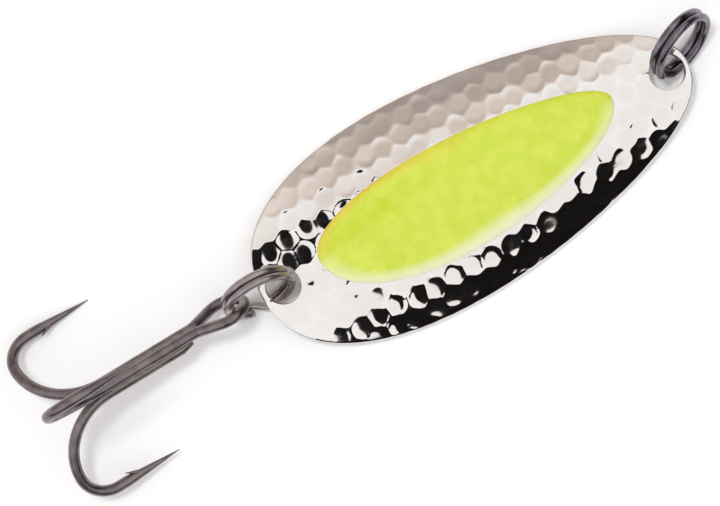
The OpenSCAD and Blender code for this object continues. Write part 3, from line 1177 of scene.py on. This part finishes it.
    def barb_line(self, roll: float) -> Line:
        """The barb of a hook, raised from the inner side of its point.

        Args:
            roll: Angle of the hook about the shank.

        Returns:
            The line of the barb.
        """
        mid = self.bend_mid()
        root = mid + np.array([-self.point_run - self.barb, self.close_r])
        s = np.linspace(0, 1, 10)[:, None]
        path = root + s * np.array([self.barb, -self.barb_lift])
        width = self.barb_share * (1 - self.barb / self.point)
        taper = width + s[:, 0] * (2 * self.tip_r / self.wire - width)
        return Line(self.place(self.on_plane(path, roll)), taper)

    def half_eye(self, side: float) -> Points:
        """Half of the eye, from the middle of its end round to the shank.

        Args:
            side: 1 or -1 for the half on either side.

        Returns:
            Points where the treble lies.
        """
        taper = math.radians(self.eye_taper)
        t = np.linspace(0, math.pi / 2 + taper, self.eye_steps)
        mid = np.array([self.eye_end + self.eye_r, 0])
        loop = mid + self.eye_r * np.stack([-np.cos(t), np.sin(t)], 1)
        end = loop[-1] + self.eye_side * np.array([math.cos(taper), -math.sin(taper)])
        t = np.linspace(0, taper, self.throat_steps)
        throat_mid = end + self.throat_r * np.array([math.sin(taper), math.cos(taper)])
        throat = throat_mid + self.throat_r * np.stack([-np.sin(taper - t), -np.cos(taper - t)], 1)
        path = np.concatenate([loop, throat]) * np.array([1, side])
        return self.place(self.on_plane(path, self.pair_roll() + 90) + self.pair_mid())

    def throat_end(self) -> float:
        """Place along the shank where the eye has closed.

        Returns:
            The place.
        """
        taper = math.radians(self.eye_taper)
        bends = (self.eye_r + self.throat_r) * math.sin(taper)
        return self.eye_end + self.eye_r + bends + self.eye_side * math.cos(taper)

    def build_double(self, tree: bpy.types.NodeTree, finish: bpy.types.Material) -> bpy.types.Object:
        """One wire bent into the eye, with a hook at each end.

        Args:
            tree: The tree that draws wire.
            finish: Material of the wire.

        Returns:
            The wire as an object.
        """
        first, second = [self.prong(roll, self.throat_end() + self.splice) for roll in self.rolls[:2]]
        near, far = self.half_eye(-1.0), self.half_eye(1.0)
        eye = np.concatenate([near[::-1], far[1:]])
        wire = Line(
            np.concatenate([first.points[::-1], eye, second.points]),
            np.concatenate([first.taper[::-1], np.ones(len(eye)), second.taper]),
        )
        lines = [wire, *[self.barb_line(roll) for roll in self.rolls[:2]]]
        return draw_wire("double_hook_wire", lines, self.wire, tree, finish)

    def build_single(self, tree: bpy.types.NodeTree, finish: bpy.types.Material) -> bpy.types.Object:
        """The third hook, its shank cut short behind the eye and ground to a slope.

        Args:
            tree: The tree that draws wire.
            finish: Material of the wire.

        Returns:
            The wire as an object.
        """
        hook = self.prong(self.rolls[2], self.third_start)
        slope = np.interp(np.arange(len(hook.taper)), [0, self.ground_points], [self.ground_share, 1])
        ground = np.minimum(hook.taper, slope)
        lines = [Line(hook.points, ground), self.barb_line(self.rolls[2])]
        return draw_wire("single_hook_wire", lines, self.wire, tree, finish)

    def build_braze(self, finish: bpy.types.Material) -> bpy.types.Object:
        """Braze that fills the hollow between the three shanks, drawn in to a neck between wires.

        Args:
            finish: Material of the braze.

        Returns:
            The braze as an object.
        """
        t = np.linspace(0, 2 * np.pi, self.braze_sectors, endpoint=False)
        rolls = np.radians(self.rolls)
        wires = self.bundle_r() * np.stack([np.cos(rolls), np.sin(rolls)], 1)
        ray = np.stack([np.cos(t), np.sin(t)], 1)
        along = ray @ wires.T
        off = np.abs(ray[:, :1] * wires[:, 1] - ray[:, 1:] * wires[:, 0])
        room = self.wire / 2 + self.braze_gap
        hit = along - np.sqrt(np.maximum(0, room**2 - off**2))
        reach = np.where((off < room) & (along > 0), hit, self.braze_r).min(axis=1)
        start, end = self.third_start + self.braze_inset, self.shank - self.braze_inset
        ease, least = self.braze_ease, self.braze_share
        ends = ease * np.array([0.0, 0.3, 1.0])
        between = np.linspace(start + 2 * ease, end - 2 * ease, 20)
        places = np.concatenate([start + ends, between, end - ends[::-1]])
        full = np.interp(places, [start, start + ease, end - ease, end], [least, 1, 1, least])
        wave = 1 - self.braze_wave * (1 + np.sin(places * 2.1))
        loops = [
            self.place(np.column_stack([np.full_like(t, x), (reach * f * w)[:, None] * ray]))
            for x, f, w in zip(places, full, wave)
        ]
        poles = self.place(np.array([[places[0], 0, 0], [places[-1], 0, 0]]))
        points, faces = skin(loops, poles[0], poles[1])
        obj = new_object("braze_fillet", points, [], faces)
        obj.data.shade_smooth()
        obj.data.materials.append(finish)
        return obj


@dataclass
class Studio:
    """White table, light from above and behind, and dark flags that the plate mirrors.

    Sizes in m, angles in degrees.

    Attributes:
        azimuth: Turn of the camera about the vertical.
        elevation: Height of the camera over the table.
        distance: Distance of the camera from its target.
        focal_px: Focal length of the camera, in pixels of the picture.
        picture_px: Width of the picture, in pixels.
        target: The point that the camera looks at.
        table_size: Length and width of the table.
        paper_glow: Light that the table adds where it is seen, to keep it white.
        box_mid: Middle of the overhead soft box.
        box_size: Its width and length.
        box_fade: Where along it the fade towards the back wall starts and ends.
        cloth_glow: Strength of the light from the soft box and the back wall.
        back_y: Distance of the back wall.
        back_size: Its width and height.
        back_foot: Height at which it has faded to its darkest tone.
        key_place: Place of the key light.
        key_size: Its width.
        key_power: Its power, in W.
        disc_mid: Middle of the dark disc behind the tail.
        disc_size: Its diameter.
        disc_corners: Number of points round it.
        wall_r: Distance of the dark wall in front.
        wall_steps: Number of points along its foot.
        wall_top: Its height at angles about the lure.
    """

    azimuth: float = -29.17
    elevation: float = 91.0
    distance: float = 0.350
    focal_px: float = 2556.5
    picture_px: int = 720
    target: tuple[float, float, float] = (-0.00366, -0.00119, 0.0)
    table_size: float = 4.0
    paper_glow: float = 0.06
    box_mid: tuple[float, float, float] = (0.07, -0.05, 0.55)
    box_size: tuple[float, float] = (1.1, 1.5)
    box_fade: tuple[float, float] = (0.28, 0.65)
    cloth_glow: float = 1.04
    back_y: float = 0.60
    back_size: tuple[float, float] = (2.4, 0.55)
    back_foot: float = 0.13
    key_place: tuple[float, float, float] = (-0.07, 0.16, 0.6)
    key_size: float = 0.10
    key_power: float = 1.25
    disc_mid: tuple[float, float, float] = (-0.115, 0.10, 0.40)
    disc_size: float = 0.145
    disc_corners: int = 48
    wall_r: float = 0.36
    wall_steps: int = 120
    wall_top: tuple[tuple[float, float], ...] = (
        (-175, 0.08), (-140, 0.15), (-122, 0.26), (-114, 0.40), (-104, 0.42), (-98, 0.27), (-92, 0.22),
        (-84, 0.215), (-74, 0.235), (-62, 0.25), (-52, 0.23), (-40, 0.27), (-28, 0.31), (-5, 0.31),
        (25, 0.26), (50, 0.12),
    )

    def build(self) -> None:
        """Sets up the table, the light, the flags and the camera."""
        self.build_table()
        self.build_world()
        self.build_lights()
        self.build_flags()
        self.build_camera()
        bpy.context.scene.view_settings.view_transform = "Standard"

    def plane(
        self, name: str, size: tuple[float, float], place: Matrix, corners: int = 4,
    ) -> bpy.types.Object:
        """A flat stage object.

        Args:
            name: Its name.
            size: Its width and height.
            place: Where it stands.
            corners: 4 for a rectangle, more for an oval.

        Returns:
            The object.
        """
        turn = 2 * np.pi * (np.arange(corners) + 0.5) / corners
        reach = np.array(size) / 2 / MM * (math.sqrt(2) if corners == 4 else 1)
        rim = np.stack([reach[0] * np.cos(turn), reach[1] * np.sin(turn), 0 * turn], 1)
        obj = new_object(name, rim, [], [tuple(range(corners))])
        obj.matrix_world = place
        return obj

    def seen_rays(self, tree: bpy.types.NodeTree) -> bpy.types.NodeSocket:
        """Whether the camera sees a surface by itself, in metal or through plastic.

        Args:
            tree: The tree that takes the nodes.

        Returns:
            An output that is 1 where it does and 0 otherwise.
        """
        rays = add_node(tree, "ShaderNodeLightPath").outputs
        seen = rays["Is Camera Ray"]
        for way in ("Is Glossy Ray", "Is Transmission Ray"):
            most = add_node(tree, "ShaderNodeMath", {"operation": "MAXIMUM"}, {0: seen, 1: rays[way]})
            seen = most.outputs[0]
        return seen

    def build_table(self) -> None:
        """White paper table that keeps the lure's shadow."""
        material, tree = new_material("white_paper")
        paper = add_node(tree, "ShaderNodeBsdfDiffuse", inputs={"Color": Tone.PAPER.linear()})
        seen = self.seen_rays(tree)
        level = add_node(tree, "ShaderNodeMath", {"operation": "MULTIPLY"}, {0: seen, 1: self.paper_glow})
        glow = add_node(tree, "ShaderNodeEmission", inputs={"Strength": level.outputs[0]})
        both = add_node(tree, "ShaderNodeAddShader", inputs={0: paper.outputs[0], 1: glow.outputs[0]})
        add_node(tree, "ShaderNodeOutputMaterial", inputs={"Surface": both.outputs[0]})
        table = self.plane("table", (self.table_size, self.table_size), Matrix.Identity(4))
        table.data.materials.append(material)

    def build_world(self) -> None:
        """White wherever it shows, and a plain warm grey light on the lure."""
        world = bpy.data.worlds.new("studio_room")
        bpy.context.scene.world = world
        world.use_nodes = True
        tree = world.node_tree
        tree.nodes.clear()
        seen = self.seen_rays(tree)
        tone = add_node(
            tree, "ShaderNodeMix", {"data_type": "RGBA"},
            {0: seen, 6: Tone.ROOM.linear(), 7: (1.0, 1.0, 1.0, 1.0)},
        )
        room = add_node(tree, "ShaderNodeBackground", inputs={"Color": tone.outputs[2], "Strength": 1.0})
        add_node(tree, "ShaderNodeOutputWorld", inputs={"Surface": room.outputs[0]})

    def cloth(self, name: str, span: tuple[float, float], near: Tone, far: Tone) -> bpy.types.Material:
        """Glowing cloth that fades from one tone to another along its own Y axis.

        Args:
            name: The material's name.
            span: Where along Y the fade starts and ends.
            near: The tone where it starts.
            far: The tone where it ends.

        Returns:
            The material.
        """
        material, tree = new_material(name)
        place = add_node(tree, "ShaderNodeTexCoord").outputs["Object"]
        along = add_node(tree, "ShaderNodeSeparateXYZ", inputs={0: place}).outputs["Y"]
        fade = add_node(
            tree, "ShaderNodeMapRange", inputs={0: along, 1: span[0], 2: span[1], 3: 0.0, 4: 1.0},
        )
        tone = add_node(
            tree, "ShaderNodeMix", {"data_type": "RGBA"},
            {0: fade.outputs[0], 6: near.linear(), 7: far.linear()},
        ).outputs[2]
        glow = add_node(tree, "ShaderNodeEmission", inputs={"Color": tone, "Strength": self.cloth_glow})
        add_node(tree, "ShaderNodeOutputMaterial", inputs={"Surface": glow.outputs[0]})
        return material

    def build_lights(self) -> None:
        """A large soft box overhead, a dimmer wall behind that it fades into, and a key light."""
        high, low = self.back_size[1] / 2, self.back_foot - self.back_size[1] / 2
        box_cloth = self.cloth("soft_box_cloth", self.box_fade, Tone.SOFT_BOX, Tone.BACK_WALL)
        box = self.plane("overhead_soft_box", self.box_size, Matrix.Translation(self.box_mid))
        wall_cloth = self.cloth("back_wall_cloth", (high, low), Tone.BACK_WALL, Tone.BACK_FOOT)
        stand = Matrix.Translation((0.0, self.back_y, high)) @ Matrix.Rotation(math.pi / 2, 4, "X")
        wall = self.plane("back_wall", self.back_size, stand)
        wall.visible_diffuse = False
        for screen, material in ((box, box_cloth), (wall, wall_cloth)):
            screen.data.materials.append(material)
            screen.visible_camera = False
            screen.visible_shadow = False

        lamp = bpy.data.lights.new("key_light", "AREA")
        lamp.size, lamp.energy = self.key_size, self.key_power
        key = bpy.data.objects.new("key_light", lamp)
        key.location = self.key_place
        key.rotation_euler = (-Vector(self.key_place)).to_track_quat("-Z", "Y").to_euler()
        key.visible_glossy = False
        bpy.context.scene.collection.objects.link(key)

    def build_flags(self) -> None:
        """Black flags that the plate mirrors: a curved wall in front, and a disc high behind the tail."""
        material, tree = new_material("black_felt")
        felt = add_node(tree, "ShaderNodeBsdfDiffuse", inputs={"Color": Tone.FLAG_BLACK.linear()})
        add_node(tree, "ShaderNodeOutputMaterial", inputs={"Surface": felt.outputs[0]})
        size, place = (self.disc_size, self.disc_size), Matrix.Translation(self.disc_mid)
        high = self.plane("tail_flag", size, place, self.disc_corners)
        steps = self.wall_steps
        turn = np.linspace(self.wall_top[0][0], self.wall_top[-1][0], steps)
        way, height = np.radians(turn), np.interp(turn, *zip(*self.wall_top))
        foot = self.wall_r * np.stack([np.cos(way), np.sin(way), 0 * way], 1)
        head = foot + np.stack([0 * way, 0 * way, height], 1)
        faces = [(i, i + 1, i + 1 + steps, i + steps) for i in range(steps - 1)]
        wall = new_object("front_flag", np.concatenate([foot, head]) / MM, [], faces)
        for flag in (wall, high):
            flag.data.materials.append(material)
            flag.visible_camera = False
            flag.visible_diffuse = False
            flag.visible_shadow = False

    def build_camera(self) -> None:
        """Camera almost straight above the lure, turned so that the blade runs up to the right."""
        camera = bpy.data.cameras.new("camera")
        camera.sensor_width = 36.0
        camera.lens = self.focal_px / self.picture_px * camera.sensor_width
        camera.clip_start, camera.clip_end = 0.01, 20.0
        a, e = math.radians(self.azimuth), math.radians(self.elevation)
        back = Vector((math.sin(a) * math.cos(e), -math.cos(a) * math.cos(e), math.sin(e)))
        right = Vector((math.cos(a), math.sin(a), 0))
        turn = Matrix((right, back.cross(right), back)).transposed().to_4x4()
        obj = bpy.data.objects.new("camera", camera)
        obj.matrix_world = Matrix.Translation(Vector(self.target) + back * self.distance) @ turn
        bpy.context.scene.collection.objects.link(obj)
        bpy.context.scene.camera = obj


def seat(obj: bpy.types.Object, body: str, node: str, slot: str) -> None:
    """Puts a piece in the frame in place of its CAD node.

    Args:
        obj: The piece.
        body: The body that it rides on.
        node: The CAD node that it stands for.
        slot: The record's material slot for its finish; not used.
    """
    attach(obj, body)
    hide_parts(node)
    log.info("%s rides on %s: %d faces", obj.name, body, len(obj.data.polygons))


def main() -> None:
    """Builds every piece of the lure, then the studio round it."""
    # Mirror-bright nickel, so the hammer marks break up whatever it mirrors; their hollows get painted
    # shade.
    nickel = HammeredNickel(
        "nickel_plate", Tone.RIDGE_NICKEL, Tone.WORN_AND_DENT_SHADE_NICKEL, patch_mm=5.0, grain_mm=0.5,
        grain_depth_mm=0.002, roughness=(0.04, 0.1), metallic=1.0,
    )
    # Bright yellow-green plastic, a little uneven under a glossy skin.
    plastic = ClearPlastic(
        "chartreuse_plastic", Tone.CHARTREUSE, Tone.PALE_CHARTREUSE, patch_mm=2.2, grain_mm=0.6,
        grain_depth_mm=0.03, roughness=(0.2, 0.34), metallic=0.0,
    )
    # Dark, faintly violet spring wire.
    line_wire = Finish(
        "black_nickel_wire", Tone.BLACK_NICKEL, Tone.BLACK_NICKEL_WORN, patch_mm=1.6, grain_mm=0.12,
        grain_depth_mm=0.004, roughness=(0.2, 0.34), metallic=1.0,
    )
    # Grey spring wire, rubbed paler in patches.
    ring_wire = Finish(
        "grey_steel_wire", Tone.RING_STEEL, Tone.RING_STEEL_WORN, patch_mm=1.6, grain_mm=0.12,
        grain_depth_mm=0.004, roughness=(0.24, 0.38), metallic=1.0,
    )
    # Grey-brown plated hook wire.
    hook_wire = Finish(
        "plated_hook_wire", Tone.HOOK_STEEL, Tone.HOOK_STEEL_WORN, patch_mm=2.0, grain_mm=0.15,
        grain_depth_mm=0.003, roughness=(0.24, 0.38), metallic=1.0,
    )
    # Braze under the same plating, duller and paler.
    braze = Finish(
        "plated_braze", Tone.SOLDER, Tone.SOLDER_PALE, patch_mm=1.2, grain_mm=0.2,
        grain_depth_mm=0.02, roughness=(0.35, 0.5), metallic=1.0,
    )

    blade, insert, hammer = Blade(), Insert(), Hammer()
    recess = insert.outline(blade.sectors, insert.clearance)
    seat(blade.build(recess, insert.mid(), hammer, nickel.material()), "blade", "blade", "plated_blade")
    seat(insert.build(blade, hammer, plastic.material()), "blade", "insert", "insert_plastic")

    tree = wire_tree()
    line_ring = SplitRing(
        "line_split_ring", mid=(47.6884, 2.43302, 5.34734), yaw=22.0, lean=66.0, jog_start=195.0,
    )
    hook_ring = SplitRing(
        "hook_split_ring", mid=(-18.2242, 0.870536, 5.36629), yaw=0.0, lean=67.0, jog_start=245.0,
    )
    seat(line_ring.build(tree, line_wire.material()), "line_ring", "line_ring", "ring_wire")
    seat(hook_ring.build(tree, ring_wire.material()), "hook_ring", "hook_ring", "ring_wire")

    treble, steel = Treble(), hook_wire.material()
    seat(treble.build_double(tree, steel), "treble", "double_hook", "hook_wire")
    seat(treble.build_single(tree, steel), "treble", "single_hook", "hook_wire")
    seat(treble.build_braze(braze.material()), "treble", "braze", "braze_metal")

    Studio().build()
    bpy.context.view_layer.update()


if __name__ == "__main__":
    main()
